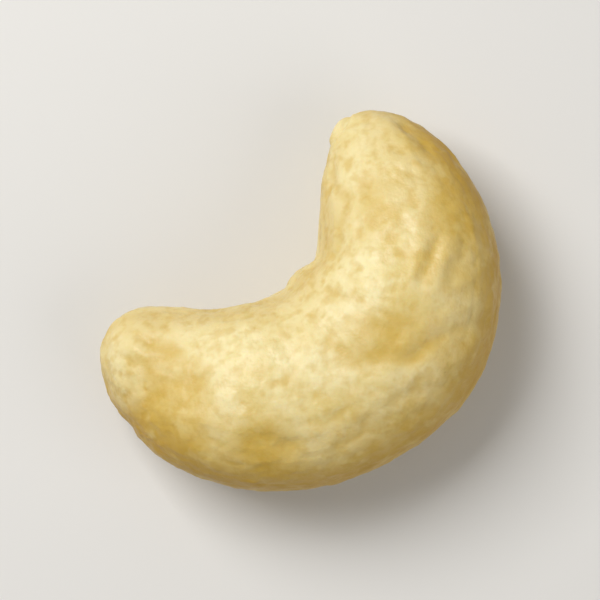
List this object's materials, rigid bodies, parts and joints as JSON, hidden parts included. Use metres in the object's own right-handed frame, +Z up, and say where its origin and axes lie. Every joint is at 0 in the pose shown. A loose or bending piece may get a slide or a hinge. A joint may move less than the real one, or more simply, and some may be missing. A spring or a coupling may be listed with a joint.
{
  "type": "cashew nut",
  "caption": "Whole raw cashew kernel, strongly curved like a C, lying on its side, with a seam round its outline and a cleft in its crook.",
  "frame": {"origin": "centre of the bounding box at its base, on the surface that the kernel lies on", "axes": "+Z up, across the kernel's thickness; +X along its longest side, from the thin end towards the thick arm's back; +Y from the belly towards the thick end"},
  "size_m": [0.0246, 0.0234, 0.0112],
  "materials": {
    "cashew_flesh": "satin"
  },
  "bodies": {
    "root": {"kernel": "cashew_flesh"}
  },
  "joints": []
}
